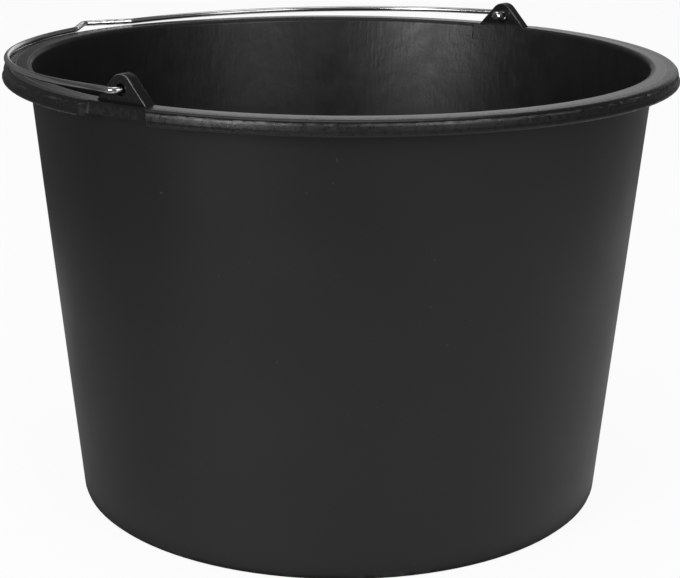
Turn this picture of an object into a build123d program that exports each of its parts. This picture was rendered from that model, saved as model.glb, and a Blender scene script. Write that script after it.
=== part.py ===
"""A 20 litre builder's bucket: a tapered moulded tub with two rim ears and a folding wire bail.

Millimetres, +Z up. The tub stands on z = 0 about the Z axis, its ears lie on the X axis, and the
bail is folded down on the rim towards +Y.
"""
import math
import os

from build123d import *

# Tub
RIM_D = 394.0           # across the bead at the lower edge of the turned-down rim
RIM_TOP = 261.6         # inner edge of the rim above the ground
RIM_OVERHANG = 14.5     # wall to the outside of the bead
RIM_FALL = 0.2          # drop of the rim's top face from its inner to its outer edge
RIM_THICK = 3.0         # top plate of the rim
SKIRT_DROP = 8.4        # rim top to the lower edge of the skirt
SKIRT_THICK = 2.6
BEAD_PROUD = 1.0        # bead beyond the face of the skirt
BEAD_H = 2.9
BASE_D = 317.2          # outside of the wall, carried on to the ground
WALL = 2.5
FLOOR = 3.0
FOOT_H = 4.0            # the floor is raised this far on a foot ring
FOOT_W = 9.0
GATE_D = 9.0            # moulding gate under the middle of the floor
GATE_H = 1.0
BASE_ROUND = 4.5        # roundings of the section: outside at the ground
BEAD_ROUND = 1.3        # lower edge of the bead
RIM_ROUND = 2.9         # rim top into the skirt
LIP_ROUND = 3.0         # wall into the rim top
FLOOR_ROUND = 6.0       # wall into the floor
ROUND_STEPS = 3         # a rounding is drawn as this many short cones

# Ears
EAR_SET = 0.4           # ear face back from the inside of the wall
EAR_THICK = 7.0
EAR_W = 34.0            # width at the foot
EAR_WALL = 4.8          # plastic round the hole
HOLE_UP = 6.5           # hole centre above the rim top
HOLE_PLAY = 1.5         # gap round the wire
BLOCK_W = 54.0          # the rim is filled solid below an ear, over this width of the wall
BLOCK_RAISE = 1.2       # underside of the filling above the lower edge of the skirt
FLAT_W = 38.0           # flat face cut on the filled rim
FLAT_BACK = 6.0         # that face back from the bead
FLAT_FLARE = 50.0       # its ends run out to the rim at this angle, degrees
RECESS_W = 43.0         # shallow recess in the inside of the wall below an ear
RECESS_H = 10.6
RECESS_DEEP = 0.8
EDGE_ROUND = 0.8        # edges of the ears

# Bail
WIRE_D = 3.6
WIRE_SIDES = 16         # the round wire is drawn with this many flats
BOW_INSET = 4.5         # centre line of the bow inside the bead
BOW_UP = 5.2            # centre of the bow beyond the hinge line
LEG_SPLAY = 8.0         # the straight legs spread by this angle, degrees
HOOK_R = 5.0            # bend where a leg turns in through its ear
HOOK_PAST = 11.0        # tip of the +X hook beyond the ear's inner face, with the bail central
HEAD_PROUD = 1.8        # the tips are upset to round heads, this far beyond the wire
HEAD_LONG = 4.5
HEAD_BEVEL = 1.0
HEAD_GAP = 0.3          # head of the shorter -X hook from its ear, where it stops the end play
HUMP_H = 16.0           # hump at the middle of the bow, which centres a hook or rope
HUMP_R = 5.0
HUMP_FOOT_R = 12.0
HUMP_SLOPE = 36.0       # flanks of the hump, degrees
BAIL_SHIFT = 3.0        # end play: the bail lies pushed towards the +X ear
REST_GAP = 1.6          # folded wire above the rim, held up by its stiff hooks

RIM_R = RIM_D / 2
WALL_TOP_R = RIM_R - RIM_OVERHANG
LEAN = (WALL_TOP_R - BASE_D / 2) / RIM_TOP
SKIRT_Z = RIM_TOP - SKIRT_DROP
RIM_EDGE_Z = RIM_TOP - RIM_FALL
HOLE_D = WIRE_D + 2 * HOLE_PLAY
PIVOT_Z = RIM_TOP + HOLE_UP
BOW_R = RIM_R - BOW_INSET
SHORT_HOOK_PAST = HEAD_LONG + HEAD_GAP - BAIL_SHIFT


def wall_out(z):
    """Outer radius of the wall at height z."""
    return BASE_D / 2 + LEAN * z


def wall_in(z):
    """Inner radius of the wall at height z."""
    return wall_out(z) - WALL * math.hypot(1, LEAN)


EAR_IN = wall_in(RIM_TOP) + EAR_SET


def rounded_section(corners):
    """Face in the XZ plane from (radius, height, rounding) corners, with roundings in short chords."""
    face = make_face(Polyline(*[(r, 0, z) for r, z, _ in corners], close=True))
    for r, z, rounding in corners:
        if rounding:
            corner = face.vertices().sort_by_distance((r, 0, z))[0]
            face = fillet(corner, rounding)
    points = []
    for edge in face.wire().order_edges():
        steps = ROUND_STEPS if edge.geom_type == GeomType.CIRCLE else 1
        points += [edge @ (i / steps) for i in range(steps)]
    return make_face(Polyline(*points, close=True))


def tub():
    """Floor with its foot ring and gate mark, tapered wall and turned-down rim."""
    floor_top = FOOT_H + FLOOR
    plate = RIM_TOP - RIM_THICK
    foot_in = wall_out(0) - FOOT_W
    skirt_out = RIM_R - BEAD_PROUD
    skirt_in = skirt_out - SKIRT_THICK
    section = rounded_section([
        (0, FOOT_H - GATE_H, 0),
        (GATE_D / 2, FOOT_H - GATE_H, 0),
        (GATE_D / 2, FOOT_H, 0),
        (foot_in, FOOT_H, 0),
        (foot_in, 0, 0),
        (wall_out(0), 0, BASE_ROUND),
        (wall_out(plate), plate, 0),
        (skirt_in, plate - RIM_FALL, 0),
        (skirt_in, SKIRT_Z, 0),
        (RIM_R, SKIRT_Z, BEAD_ROUND),
        (RIM_R, SKIRT_Z + BEAD_H - BEAD_PROUD, 0),
        (skirt_out, SKIRT_Z + BEAD_H, 0),
        (skirt_out, RIM_EDGE_Z, RIM_ROUND),
        (wall_in(RIM_TOP), RIM_TOP, LIP_ROUND),
        (wall_in(floor_top), floor_top, FLOOR_ROUND),
        (0, floor_top, 0),
    ])
    return revolve(section, Axis.Z)


def lug():
    """Triangular ear on the +X side, rounded about its hole."""
    across = Plane((EAR_IN, 0, 0), x_dir=(0, 1, 0), z_dir=(1, 0, 0))
    crown = Pos(0, PIVOT_Z) * Circle(HOLE_D / 2 + EAR_WALL)
    foot = Line((-EAR_W / 2, RIM_TOP), (EAR_W / 2, RIM_TOP))
    outline = make_hull(crown.edges() + foot.edges())
    outline += Pos(0, RIM_TOP - LIP_ROUND / 2) * Rectangle(EAR_W, LIP_ROUND)
    plate = extrude(across * outline, EAR_THICK)
    edges = plate.edges().filter_by(Axis.X, reverse=True)
    return fillet(edges.filter_by(lambda e: e.center().Z > RIM_TOP), EDGE_ROUND)


def sector(section, width):
    """Part of a ring about the tub's axis, centred on +X, from a section of (radius, height) corners."""
    arc = math.degrees(width / WALL_TOP_R)
    face = make_face(Polyline(*[(r, 0, z) for r, z in section], close=True))
    return Rot(0, 0, -arc / 2) * revolve(face, Axis.Z, arc)


def block():
    """Filling of the turned-down rim below the +X ear."""
    low, high = SKIRT_Z + BLOCK_RAISE, RIM_EDGE_Z - RIM_THICK / 2
    outer = RIM_R - BEAD_PROUD - SKIRT_THICK / 2
    return sector([
        (wall_out(low) - WALL / 2, low),
        (outer, low),
        (outer, high),
        (wall_out(high) - WALL / 2, high),
    ], BLOCK_W)


def flat():
    """What is cut off the filled rim below the +X ear, to leave a flat face with slanted ends."""
    face_at, clear = RIM_R - FLAT_BACK, RIM_R + FLAT_BACK
    half = FLAT_W / 2
    ends = half + (clear - face_at) * math.tan(math.radians(FLAT_FLARE))
    plan = make_face(Polyline((face_at, -half), (face_at, half), (clear, ends), (clear, -ends), close=True))
    return Pos(0, 0, SKIRT_Z - FLAT_BACK) * extrude(plan, SKIRT_DROP + 2 * FLAT_BACK, dir=(0, 0, 1))


def recess():
    """What is taken off the inside of the wall below the +X ear."""
    low = RIM_TOP - RECESS_H
    return sector([
        (wall_in(low) - WALL, low),
        (wall_in(low) + RECESS_DEEP, low),
        (wall_in(RIM_TOP) + RECESS_DEEP, RIM_TOP),
        (wall_in(RIM_TOP) - WALL, RIM_TOP),
    ], RECESS_W)


def bucket_body():
    added = block() + lug()
    taken = flat() + recess()
    turned = Rot(0, 0, 180)
    bore = Pos(0, 0, PIVOT_Z) * Rot(0, 90, 0) * Cylinder(HOLE_D / 2, RIM_D)
    return tub() + added + turned * added - taken - turned * taken - bore


def polar(radius, degrees):
    """Vector of a length at an angle from the hinge line."""
    return Vector(radius * math.cos(math.radians(degrees)), radius * math.sin(math.radians(degrees)))


def bail_half(past):
    """Centre line from the +X hook's tip to the middle of the hump, with the hinge line along x."""
    centre = Vector(0, BOW_UP)
    leg_top = centre + polar(BOW_R, LEG_SPLAY)
    hinge = leg_top + polar(leg_top.Y / math.cos(math.radians(LEG_SPLAY)), LEG_SPLAY - 90)
    hump_mid = centre + Vector(0, BOW_R + HUMP_H - HUMP_R)
    hump_top = hump_mid + Vector(0, HUMP_R)

    # The foot of the hump is an arc outside the bow, tangent to the bow and to the hump's flank.
    away, along = polar(1, 90 - HUMP_SLOPE), polar(1, -HUMP_SLOPE)
    crest = hump_mid + away * HUMP_R
    reach = crest + away * HUMP_FOOT_R - centre
    ahead = reach.dot(along)
    flank = -ahead - math.sqrt(ahead ** 2 - reach.dot(reach) + (BOW_R + HUMP_FOOT_R) ** 2)
    foot = crest + along * flank
    foot_mid = foot + away * HUMP_FOOT_R
    bow_end = centre + (foot_mid - centre).normalized() * BOW_R

    tip = Vector(EAR_IN - past, 0)
    hook = FilletPolyline(tip, hinge, leg_top, radius=HOOK_R)
    return hook.edges() + [
        TangentArc(leg_top, bow_end, tangent=polar(1, 90 + LEG_SPLAY)),
        TangentArc(foot, bow_end, tangent=along),
        Line(foot, crest),
        TangentArc(crest, hump_top, tangent=-along),
    ]


def rest_drop():
    """Angle of the folded bail below the level of its hinge, in degrees.

    The bow comes down until the wire first meets the rounded outer edge of the rim.
    """
    round_at = RIM_R - BEAD_PROUD - RIM_ROUND
    touch = RIM_ROUND + WIRE_D / 2 + REST_GAP
    drops = []
    for angle in range(20, 161):
        point = Vector(BAIL_SHIFT, BOW_UP) + polar(BOW_R, angle)
        past = max(0, point.length - round_at)
        if past < touch:
            level = RIM_EDGE_Z - RIM_ROUND + math.sqrt(touch ** 2 - past ** 2)
            drops.append(math.degrees(math.asin((PIVOT_Z - level) / point.Y)))
    return min(drops)


def head(tip, side):
    """Upset end of a hook, from its tip on the hinge line out towards the given side."""
    end = Plane((tip, 0, 0), z_dir=(side, 0, 0))
    button = extrude(end * RegularPolygon(WIRE_D / 2 + HEAD_PROUD, WIRE_SIDES), HEAD_LONG)
    return chamfer(button.edges().filter_by(Axis.X, reverse=True), HEAD_BEVEL)


def wire_bail():
    long_tip, short_tip = EAR_IN - HOOK_PAST, SHORT_HOOK_PAST - EAR_IN
    short_half = [edge.mirror(Plane.YZ) for edge in bail_half(SHORT_HOOK_PAST)]
    path = Wire(bail_half(HOOK_PAST) + short_half)
    start = Plane((long_tip, 0, 0), z_dir=(1, 0, 0))
    wire = sweep(start * RegularPolygon(WIRE_D / 2, WIRE_SIDES), path)
    bail = wire + head(long_tip, 1) + head(short_tip, -1)
    return Pos(BAIL_SHIFT, 0, PIVOT_Z) * Rot(-rest_drop(), 0, 0) * bail


os.makedirs("parts", exist_ok=True)
for name, solid in (("bucket_body", bucket_body()), ("wire_bail", wire_bail())):
    export_step(solid, "parts/" + name + ".step")
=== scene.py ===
"""Looks of the builder's bucket: black moulded polyethylene and bright zinc wire on a pale floor."""
import math

import bmesh
import bpy
from mathutils import Matrix, Vector

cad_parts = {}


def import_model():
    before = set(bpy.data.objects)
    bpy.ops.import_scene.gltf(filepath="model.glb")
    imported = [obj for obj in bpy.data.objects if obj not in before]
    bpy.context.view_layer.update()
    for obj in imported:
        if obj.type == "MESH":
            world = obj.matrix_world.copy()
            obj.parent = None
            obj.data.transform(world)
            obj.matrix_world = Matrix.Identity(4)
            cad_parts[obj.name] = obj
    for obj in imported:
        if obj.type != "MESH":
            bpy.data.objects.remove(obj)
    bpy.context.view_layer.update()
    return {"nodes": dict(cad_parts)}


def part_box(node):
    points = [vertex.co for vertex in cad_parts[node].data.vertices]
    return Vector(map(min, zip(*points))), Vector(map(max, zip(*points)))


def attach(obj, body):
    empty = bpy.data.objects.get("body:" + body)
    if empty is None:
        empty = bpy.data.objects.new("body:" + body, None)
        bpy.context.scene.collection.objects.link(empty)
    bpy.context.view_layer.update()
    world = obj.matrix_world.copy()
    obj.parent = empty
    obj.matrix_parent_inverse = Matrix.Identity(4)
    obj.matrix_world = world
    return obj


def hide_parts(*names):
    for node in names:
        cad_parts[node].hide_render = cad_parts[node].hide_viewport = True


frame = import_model()

# Camera, fitted to the photograph
CAMERA_AT = Vector((-0.8125, -0.5997, 0.4178))
AIM_AT = Vector((0.0, 0.0, 0.1194))     # the line of sight crosses the tub's axis here
CAMERA_ROLL = 0.0056        # radians
LENS = 90.88                # mm, for a sensor of this width
SENSOR = 36.0

# Places that the plastic's finish follows. A pair of numbers holds the two ends of a finish's soft edge.
EAR_HIGH = 0.0146           # tops of the ears above the rim
RIM_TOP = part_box("bucket_body")[1].z - EAR_HIGH
RIM_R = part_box("bucket_body")[1].y
WALL_FOOT_R = 0.1573        # middle of the wall's thickness, carried on to the ground
WALL_LEAN = 0.0914          # outwards for each metre up
WALL_EDGE = (-0.0003, 0.0003)           # outwards from that middle
EAR_Z = (RIM_TOP + 0.0005, RIM_TOP + 0.0015)
EAR_HALF = (0.020, 0.022)
FLAT_Z = (RIM_TOP - 0.0020, RIM_TOP - 0.0012)
FLAT_R = (RIM_R - 0.0155, RIM_R - 0.0135)
SKIRT_Z = (RIM_TOP - 0.0092, RIM_TOP - 0.0086)
SKIRT_R = (RIM_R - 0.0085, RIM_R - 0.0080)
CORNER_Z = RIM_TOP - 0.0021             # the rim's outer corner
CORNER_HALF, CORNER_SOFT = 0.0003, 0.0006
CORNER_R = (RIM_R - 0.0040, RIM_R - 0.0025)
FOOT_Z = (0.001, 0.006)
RIDGE_FROM = (0.2, 0.45)    # the ears' ridges, by how far the surface faces along X
RIDGE_TO = (0.8, 0.97)

# Stretches of the rim's corner where the scuffs and the painted highlight in them are strongest: azimuth and
# half width in degrees
SCUFF_AND_HIGHLIGHT_AT = ((-161, 8), (-125, 3), (-92, 4), (35, 6))
SCUFF_AND_HIGHLIGHT_SOFT = 0.05          # radians
SCUFF_AND_HIGHLIGHT_LEAST = 0.25         # share of the scuffs and painted highlight between them

# The photographed rim isn't quite level: it rises this much about this azimuth, close under the folded wire
RIM_RISE = 0.0017
RISE_AT = math.radians(113)
RISE_HALF = math.radians(60)
RISE_ABOVE = 0.20           # lower points stay

# Noise: cells in a metre, detail and roughness. Three numbers of cells are round the tub, up it and outwards.
CLOUD = (14, 3)
BLOTCH = (70, 4, 0.6)
SCUFF = (330, 5, 0.75)
SPECK = (420, 1)
GRAIN = (900, 2)
STREAK = ((320.0, 70.0, 70.0), 3, 0.6)
GAPS = ((170.0, 700.0, 170.0), 4, 0.7)
ZINC_CLOUD = (90, 3)
DRAWN = ((12.0, 800.0, 800.0), 2)

# Levels of a noise between which something comes in
NOISE_SPAN = (0.3, 0.7)
SKIRT_LEVELS = (0.38, 0.62)
EAR_LEVELS = (0.35, 0.65)
GAPS_LEVELS = (0.47, 0.60)
RIDGE_LEVELS = (0.35, 0.6)
FOOT_LEVELS = (0.45, 0.7)
SPECK_LEVELS = (0.76, 0.80)
DRAWN_LEVELS = (0.42, 0.60)

# Greys. Those of the ground edge and the ears' ridges are painted highlights, patchy; the corner's is
# scuffing with a painted highlight in it
PLASTIC_GREY = (0.0045, 0.0065)
SPECK_GREY, FOOT_HIGHLIGHT_GREY, RIDGE_HIGHLIGHT_GREY, CORNER_SCUFF_AND_HIGHLIGHT_GREY = 0.022, 0.03, 0.09, 0.10
ZINC_GREY = (0.84, 0.96)
DRAWN_GREY = 0.40
FLOOR_GREY = 0.92

# Roughness
WALL_ROUGH = (0.38, 0.43)
INSIDE_ROUGH = (0.37, 0.47)
SKIRT_ROUGH = (0.24, 0.48)
EAR_ROUGH = (0.24, 0.34)
FLAT_ROUGH, CORNER_ROUGH = 0.20, 0.6
ZINC_ROUGH = (0.10, 0.26)
FLOOR_ROUGH = 0.9

# Bumps: depth and strength
GRAIN_BUMP = (0.0002, 0.10)
SCUFF_BUMP = (0.0004, 0.5)
DENT_BUMP = (0.0006, 0.55)
DRAWN_BUMP = (0.0003, 0.12)
STREAK_SHARE = 0.5          # of the streaks beside the blotches in the dents

# Shapes
WELD = 1e-5
SMOOTH_BELOW = math.radians(40)
JOIN_BELOW = math.radians(20)           # triangles that make a quad: bend between them, and the quad's skew
JOIN_SKEW = math.radians(60)
CREASE_ABOVE = math.radians(60)         # corners at the wire's ends that stay
CREASE = 0.8
WIRE_LEVELS = 2             # of subdivision

# The backdrop in reflections, by a ray's direction: upwards, ahead and to the right
BACKDROP = Vector((0.805, 0.593, 0.0))      # from the camera past the object
BACKDROP_RIGHT = Vector((0.593, -0.805, 0.0))
BACKDROP_TOP = (0.24, 0.36)
BACKDROP_AHEAD = (0.80, 0.95)
BACKDROP_LEFT_END = (-0.19, -0.06)
BACKDROP_DIMS = (0.08, 0.22)            # to the right, to this share
BACKDROP_DIMMED = 0.65

# Brightness in reflections. The floor's is painted light, a glow seen only in reflections, with painted
# shadows in it
BACKDROP_GLOSS = 0.68
ROOM_GLOSS = 0.10
FLOOR_POOL_GLOW = 0.48
FLOOR_FAR_GLOW = 0.06
FLOOR_LIT_AT = Vector((0.16, -0.17, 0.0))   # painted pool of light: the floor's glow ends between two radii about this place
FLOOR_LIT_R = (0.55, 0.88)
FLOOR_PAINTED_SHADOWS = (               # painted shadows in it: middle, two radii, share taken; the last is a painted contact shadow at the foot
    (Vector((-0.15, 0.22, 0.0)), 0.12, 0.30, 0.45),
    (Vector((0.55, -0.58, 0.0)), 0.10, 0.38, 0.45),
    (Vector((0.0, 0.0, 0.0)), 0.157, 0.170, 0.85),
)
FLOOR_RIGHT_AT = Vector((1.6, 0.1, 0.0))    # a painted patch of light far to the right
FLOOR_RIGHT_R = (0.3, 0.9)
FLOOR_RIGHT_GLOW = 0.2

# Light
FLOOR_HALF = 12.0           # half of the floor's side
FLOOR_LIFT = 0.92           # share of the floor in view that is plain white; the rest takes light and shadow
ROOM_LIGHT = 0.45           # what falls on the object from all round
LAMPS = (                   # square soft boxes: name, place, side in metres, watts
    ("key", (-2.0, 0.0, 0.80), 0.9, 26),
    ("fill", (-0.62, -1.90, 1.10), 1.2, 16),
    ("overhead", (0.3, 0.4, 2.2), 1.6, 8),
)
LAMPS_AIM = Vector((0.0, 0.0, 0.25))        # the mouth of the bucket


class Nodes:
    """Short names for making one material's nodes."""

    def __init__(self, tree):
        self.tree = tree
        self.tree.nodes.clear()

    def add(self, kind, **settings):
        node = self.tree.nodes.new(kind)
        for name, value in settings.items():
            setattr(node, name, value)
        return node

    def feed(self, socket, value):
        if isinstance(value, bpy.types.NodeSocket):
            self.tree.links.new(value, socket)
        else:
            socket.default_value = value

    def math(self, operation, a, b=0.0):
        node = self.add("ShaderNodeMath", operation=operation)
        self.feed(node.inputs[0], a)
        self.feed(node.inputs[1], b)
        return node.outputs[0]

    def vector(self, operation, a, b):
        """Number that comes of two vectors."""
        node = self.add("ShaderNodeVectorMath", operation=operation)
        self.feed(node.inputs[0], a)
        self.feed(node.inputs[1], b)
        return node.outputs["Value"]

    def product(self, *shares):
        result = shares[0]
        for share in shares[1:]:
            result = self.math("MULTIPLY", result, share)
        return result

    def ramp(self, value, low, high, to_low=0.0, to_high=1.0):
        """The value's range from low to high, smoothly mapped and clamped."""
        node = self.add("ShaderNodeMapRange", interpolation_type="SMOOTHSTEP")
        self.feed(node.inputs["Value"], value)
        for name, number in (("From Min", low), ("From Max", high), ("To Min", to_low), ("To Max", to_high)):
            self.feed(node.inputs[name], number)
        return node.outputs["Result"]

    def fall(self, value, low, high):
        """1 up to low, 0 from high."""
        return self.ramp(value, low, high, 1.0, 0.0)

    def band(self, value, middle, half, soft):
        """1 within half of the middle, 0 beyond that and the soft edge."""
        away = self.math("ABSOLUTE", self.math("SUBTRACT", value, middle))
        return self.fall(away, half, half + soft)

    def noise(self, where, cells, detail, roughness=0.5):
        node = self.add("ShaderNodeTexNoise")
        self.feed(node.inputs["Vector"], where)
        self.feed(node.inputs["Scale"], cells)
        self.feed(node.inputs["Detail"], detail)
        self.feed(node.inputs["Roughness"], roughness)
        return node.outputs["Fac"]

    def streaks(self, where, cells, detail, roughness=0.5):
        """Noise with its own number of cells along each axis."""
        node = self.add("ShaderNodeMapping")
        self.feed(node.inputs["Vector"], where)
        self.feed(node.inputs["Scale"], cells)
        return self.noise(node.outputs["Vector"], 1.0, detail, roughness)

    def split(self, vector):
        node = self.add("ShaderNodeSeparateXYZ")
        self.feed(node.inputs[0], vector)
        return node.outputs

    def join(self, x, y, z):
        node = self.add("ShaderNodeCombineXYZ")
        for socket, value in zip(node.inputs, (x, y, z)):
            self.feed(socket, value)
        return node.outputs[0]

    def about_axis(self, where):
        """Azimuth, radius, and a vector of the way round the rim, the height and the radius."""
        x, y, z = self.split(where)
        turn = self.math("ARCTAN2", y, x)
        radius = self.vector("DISTANCE", self.join(x, y, 0.0), (0.0, 0.0, 0.0))
        return turn, radius, self.join(self.math("MULTIPLY", turn, RIM_R), z, radius)

    def mix(self, share, low, high, kind="FLOAT"):
        """Number from low to high by share."""
        node = self.add("ShaderNodeMix", data_type=kind)
        self.feed(node.inputs["Factor"], share)
        self.feed(node.inputs["A"], low)
        self.feed(node.inputs["B"], high)
        return node.outputs["Result"]

    def blend(self, share, low, high):
        """Colour from low to high by share."""
        return self.mix(share, low, high, "RGBA")

    def bump(self, height, depth, strength, under=None):
        node = self.add("ShaderNodeBump")
        self.feed(node.inputs["Height"], height)
        self.feed(node.inputs["Distance"], depth)
        self.feed(node.inputs["Strength"], strength)
        if under is not None:
            self.feed(node.inputs["Normal"], under)
        return node.outputs["Normal"]


def grey(value):
    return (value, value, value, 1.0)


def material(name):
    made = bpy.data.materials.new(name)
    made.use_nodes = True
    nodes = Nodes(made.node_tree)
    shader = nodes.add("ShaderNodeBsdfPrincipled")
    out = nodes.add("ShaderNodeOutputMaterial")
    nodes.feed(out.inputs["Surface"], shader.outputs["BSDF"])
    return made, nodes, shader


def black_plastic():
    """Satin black moulding, duller and mottled inside, glossier and scuffed on the rim, with painted
    highlights along its outer corner, the ears' ridges and the ground edge.
    """
    made, nodes, shader = material("black_plastic")
    where = nodes.add("ShaderNodeTexCoord").outputs["Object"]
    _, y, z = nodes.split(where)
    turn, radius, around = nodes.about_axis(where)
    normal = nodes.add("ShaderNodeNewGeometry").outputs["Normal"]
    facing = nodes.math("ABSOLUTE", nodes.split(normal)[0])

    # Parts of the moulding
    wall_middle = nodes.math("ADD", nodes.math("MULTIPLY", z, WALL_LEAN), WALL_FOOT_R)
    inside = nodes.fall(nodes.math("SUBTRACT", radius, wall_middle), *WALL_EDGE)
    ear = nodes.product(nodes.ramp(z, *EAR_Z), nodes.fall(nodes.math("ABSOLUTE", y), *EAR_HALF))
    flat = nodes.product(nodes.ramp(z, *FLAT_Z), nodes.ramp(radius, *FLAT_R),
                         nodes.math("SUBTRACT", 1.0, ear))
    skirt = nodes.product(nodes.ramp(z, *SKIRT_Z), nodes.ramp(radius, *SKIRT_R))

    cloud = nodes.noise(where, *CLOUD)
    blotch = nodes.noise(where, *BLOTCH)
    scuff = nodes.noise(where, *SCUFF)
    grain = nodes.noise(where, *GRAIN)
    streak = nodes.streaks(around, *STREAK)

    # Lighter places: scuffs along the outer corner of the rim with a painted highlight in them, painted
    # highlights on the ridges of the ears and along the ground edge, and stray specks
    scuff_and_highlight = SCUFF_AND_HIGHLIGHT_LEAST
    for middle, half in SCUFF_AND_HIGHLIGHT_AT:
        stretch = nodes.band(turn, math.radians(middle), math.radians(half), SCUFF_AND_HIGHLIGHT_SOFT)
        scuff_and_highlight = nodes.math("MAXIMUM", scuff_and_highlight, stretch)
    corner = nodes.product(nodes.band(z, CORNER_Z, CORNER_HALF, CORNER_SOFT), nodes.ramp(radius, *CORNER_R),
                           nodes.ramp(nodes.streaks(around, *GAPS), *GAPS_LEVELS), scuff_and_highlight)
    ridge_highlight = nodes.product(ear, nodes.ramp(facing, *RIDGE_FROM), nodes.fall(facing, *RIDGE_TO),
                          nodes.ramp(blotch, *RIDGE_LEVELS))
    foot = nodes.product(nodes.fall(z, *FOOT_Z), nodes.ramp(blotch, *FOOT_LEVELS))
    speck = nodes.ramp(nodes.noise(where, *SPECK), *SPECK_LEVELS)

    colour = nodes.blend(cloud, *map(grey, PLASTIC_GREY))
    specks_scuffs_and_highlights = ((speck, SPECK_GREY), (foot, FOOT_HIGHLIGHT_GREY), (ridge_highlight, RIDGE_HIGHLIGHT_GREY), (corner, CORNER_SCUFF_AND_HIGHLIGHT_GREY))
    for share, tone in specks_scuffs_and_highlights:
        colour = nodes.blend(share, colour, grey(tone))
    nodes.feed(shader.inputs["Base Color"], colour)

    outer = nodes.ramp(cloud, *NOISE_SPAN, *WALL_ROUGH)
    inner = nodes.ramp(blotch, *NOISE_SPAN, *INSIDE_ROUGH)
    rough = nodes.mix(inside, outer, inner)
    rough = nodes.mix(skirt, rough, nodes.ramp(scuff, *SKIRT_LEVELS, *SKIRT_ROUGH))
    rough = nodes.mix(ear, rough, nodes.ramp(scuff, *EAR_LEVELS, *EAR_ROUGH))
    rough = nodes.mix(flat, rough, FLAT_ROUGH)
    rough = nodes.mix(corner, rough, CORNER_ROUGH)
    nodes.feed(shader.inputs["Roughness"], rough)

    dents = nodes.product(inside, nodes.math("ADD", blotch, nodes.product(streak, STREAK_SHARE)))
    bumps = nodes.bump(grain, *GRAIN_BUMP)
    bumps = nodes.bump(nodes.product(skirt, scuff), *SCUFF_BUMP, bumps)
    bumps = nodes.bump(dents, *DENT_BUMP, bumps)
    nodes.feed(shader.inputs["Normal"], bumps)
    return made


def zinc_wire():
    """Bright wire with a cloudy zinc skin and the streaks that drawing it left."""
    made, nodes, shader = material("zinc")
    where = nodes.add("ShaderNodeTexCoord").outputs["Object"]
    _, _, along = nodes.about_axis(where)
    cloud = nodes.noise(where, *ZINC_CLOUD)
    drawn = nodes.streaks(along, *DRAWN)
    colour = nodes.blend(cloud, *map(grey, ZINC_GREY))
    colour = nodes.blend(nodes.ramp(drawn, *DRAWN_LEVELS), colour, grey(DRAWN_GREY))
    nodes.feed(shader.inputs["Base Color"], colour)
    nodes.feed(shader.inputs["Roughness"], nodes.ramp(drawn, *NOISE_SPAN, *ZINC_ROUGH))
    nodes.feed(shader.inputs["Normal"], nodes.bump(drawn, *DRAWN_BUMP))
    shader.inputs["Metallic"].default_value = 1.0
    return made


def welded(node, name, finish):
    """Smoothly shaded object with a CAD node's shape, its points welded."""
    shape = bmesh.new()
    shape.from_mesh(frame["nodes"][node].data)
    bmesh.ops.remove_doubles(shape, verts=shape.verts, dist=WELD)
    mesh = bpy.data.meshes.new(name)
    shape.to_mesh(mesh)
    shape.free()
    if mesh.has_custom_normals:
        mesh.attributes.remove(mesh.attributes["custom_normal"])
    mesh.shade_smooth()
    mesh.materials.clear()
    mesh.materials.append(finish)
    piece = bpy.data.objects.new(name, mesh)
    bpy.context.scene.collection.objects.link(piece)
    return piece


def stand_for(piece, node, body):
    """The piece moves with a body, in place of a CAD node, which is hidden."""
    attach(piece, body)
    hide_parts(node)


def bucket_shell():
    """The tub, its rim raised a little at one side, with its sharp edges kept."""
    piece = welded("bucket_body", "bucket_shell", black_plastic())
    for point in piece.data.vertices:
        away = abs(math.atan2(point.co.y, point.co.x) - RISE_AT) / RISE_HALF
        if away < 1 and point.co.z > RISE_ABOVE:
            point.co.z += RIM_RISE * math.cos(away * math.pi / 2) ** 2
    piece.data.set_sharp_from_angle(angle=SMOOTH_BELOW)
    even = piece.modifiers.new("even_normals", "WEIGHTED_NORMAL")
    even.keep_sharp = True
    stand_for(piece, "bucket_body", "bucket")


def bail_wire():
    """The wire, its sixteen flats rounded off by subdivision, with the corners at its ends kept."""
    piece = welded("wire_bail", "bail_wire", zinc_wire())
    shape = bmesh.new()
    shape.from_mesh(piece.data)
    bmesh.ops.join_triangles(shape, faces=shape.faces, angle_face_threshold=JOIN_BELOW,
                             angle_shape_threshold=JOIN_SKEW)
    crease = shape.edges.layers.float.new("crease_edge")
    for edge in shape.edges:
        if edge.calc_face_angle(0.0) > CREASE_ABOVE:
            edge[crease] = CREASE
    shape.to_mesh(piece.data)
    shape.free()
    piece.data.shade_smooth()
    finer = piece.modifiers.new("round", "SUBSURF")
    finer.levels = finer.render_levels = WIRE_LEVELS
    stand_for(piece, "wire_bail", "bail")


def seen(nodes):
    """Shares of the rays that show a surface, direct, mirrored or through glass, and of the direct ones."""
    path = nodes.add("ShaderNodeLightPath").outputs
    share = nodes.math("MAXIMUM", path["Is Camera Ray"], path["Is Glossy Ray"])
    return nodes.math("MAXIMUM", share, path["Is Transmission Ray"]), path["Is Camera Ray"]


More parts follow.
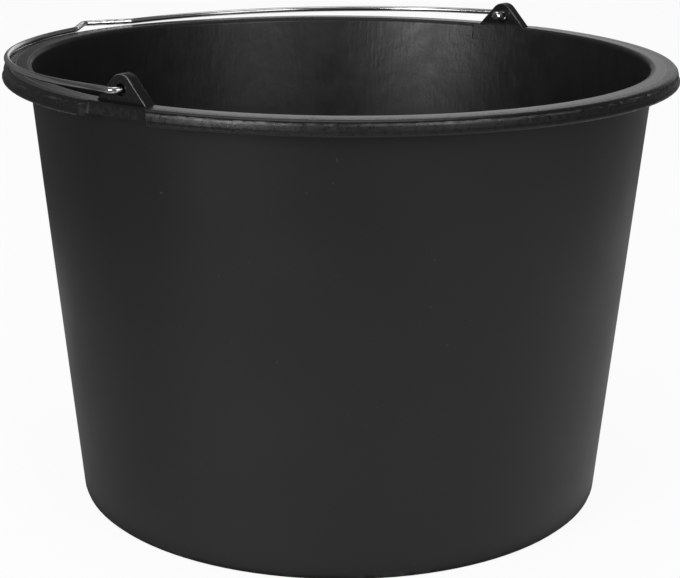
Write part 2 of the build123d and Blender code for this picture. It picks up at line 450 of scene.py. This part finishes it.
def floor():
    """Pale floor that shows the object's shadow, white to the camera, and in reflections a glow painted with
    a pool of light, shadows and a lighter patch.
    """
    made, nodes, shader = material("floor")
    shader.inputs["Base Color"].default_value = grey(FLOOR_GREY)
    shader.inputs["Roughness"].default_value = FLOOR_ROUGH
    shader.inputs["Specular IOR Level"].default_value = 0.0
    shown, to_camera = seen(nodes)
    where = nodes.add("ShaderNodeTexCoord").outputs["Object"]
    # In reflections the floor glows: a painted pool of light with painted shadows and a painted patch of
    # light; to the camera it is plain white.
    lit_away = nodes.vector("DISTANCE", where, FLOOR_LIT_AT)
    mirrored = nodes.ramp(lit_away, *FLOOR_LIT_R, FLOOR_POOL_GLOW, FLOOR_FAR_GLOW)
    for middle, near, far, share in FLOOR_PAINTED_SHADOWS:
        away = nodes.vector("DISTANCE", where, middle)
        mirrored = nodes.product(mirrored, nodes.ramp(away, near, far, 1 - share, 1.0))
    right_away = nodes.vector("DISTANCE", where, FLOOR_RIGHT_AT)
    painted_light_patch = nodes.ramp(right_away, *FLOOR_RIGHT_R, FLOOR_RIGHT_GLOW, 0.0)
    mirrored = nodes.math("ADD", mirrored, painted_light_patch)
    glow = nodes.add("ShaderNodeEmission")
    nodes.feed(glow.inputs["Strength"], nodes.mix(to_camera, mirrored, 1.0))
    surface = nodes.add("ShaderNodeMixShader")
    nodes.feed(surface.inputs[0], nodes.product(shown, FLOOR_LIFT))
    nodes.feed(surface.inputs[1], shader.outputs["BSDF"])
    nodes.feed(surface.inputs[2], glow.outputs[0])
    out = nodes.tree.nodes["Material Output"]
    nodes.feed(out.inputs["Surface"], surface.outputs[0])
    mesh = bpy.data.meshes.new("floor")
    corners = [(x * FLOOR_HALF, y * FLOOR_HALF, 0) for x, y in ((-1, -1), (1, -1), (1, 1), (-1, 1))]
    mesh.from_pydata(corners, [], [(0, 1, 2, 3)])
    mesh.materials.append(made)
    ground = bpy.data.objects.new("floor", mesh)
    bpy.context.scene.collection.objects.link(ground)


def world():
    """White to the camera, and in reflections a white backdrop of some height and width in a dim room."""
    made = bpy.data.worlds.new("studio")
    made.use_nodes = True
    nodes = Nodes(made.node_tree)
    shown, to_camera = seen(nodes)
    way = nodes.add("ShaderNodeTexCoord").outputs["Generated"]
    height = nodes.split(way)[2]
    ahead = nodes.vector("DOT_PRODUCT", way, BACKDROP)
    aside = nodes.vector("DOT_PRODUCT", way, BACKDROP_RIGHT)
    drop = nodes.product(nodes.fall(height, *BACKDROP_TOP), nodes.ramp(ahead, *BACKDROP_AHEAD),
                         nodes.ramp(aside, *BACKDROP_LEFT_END),
                         nodes.ramp(aside, *BACKDROP_DIMS, 1.0, BACKDROP_DIMMED))
    mirrored = nodes.mix(drop, ROOM_GLOSS, BACKDROP_GLOSS)
    strength = nodes.mix(to_camera, nodes.mix(shown, ROOM_LIGHT, mirrored), 1.0)
    light = nodes.add("ShaderNodeBackground")
    light.inputs["Color"].default_value = grey(1.0)
    nodes.feed(light.inputs["Strength"], strength)
    out = nodes.add("ShaderNodeOutputWorld")
    nodes.feed(out.inputs["Surface"], light.outputs["Background"])
    bpy.context.scene.world = made


def lamp(name, place, side, watts):
    """Square soft box at a place, turned to the mouth of the bucket."""
    data = bpy.data.lights.new(name, "AREA")
    data.size = side
    data.energy = watts
    made = bpy.data.objects.new(name, data)
    made.location = place
    made.rotation_mode = "QUATERNION"
    made.rotation_quaternion = (LAMPS_AIM - made.location).to_track_quat("-Z", "Y")
    bpy.context.scene.collection.objects.link(made)


def camera():
    """Camera looking at its aim, rolled a little about its line of sight."""
    ahead = (AIM_AT - CAMERA_AT).normalized()
    right = ahead.cross(Vector((0, 0, 1))).normalized()
    up = right.cross(ahead)
    turned = math.cos(CAMERA_ROLL) * right + math.sin(CAMERA_ROLL) * up
    upright = turned.cross(ahead)
    axes = Matrix((turned, upright, -ahead)).transposed().to_4x4()
    data = bpy.data.cameras.new("camera")
    data.lens = LENS
    data.sensor_width = SENSOR
    made = bpy.data.objects.new("camera", data)
    made.matrix_world = Matrix.Translation(CAMERA_AT) @ axes
    bpy.context.scene.collection.objects.link(made)
    bpy.context.scene.camera = made


bucket_shell()
bail_wire()
floor()
world()
for soft_box in LAMPS:
    lamp(*soft_box)
camera()
bpy.context.scene.view_settings.view_transform = "Standard"
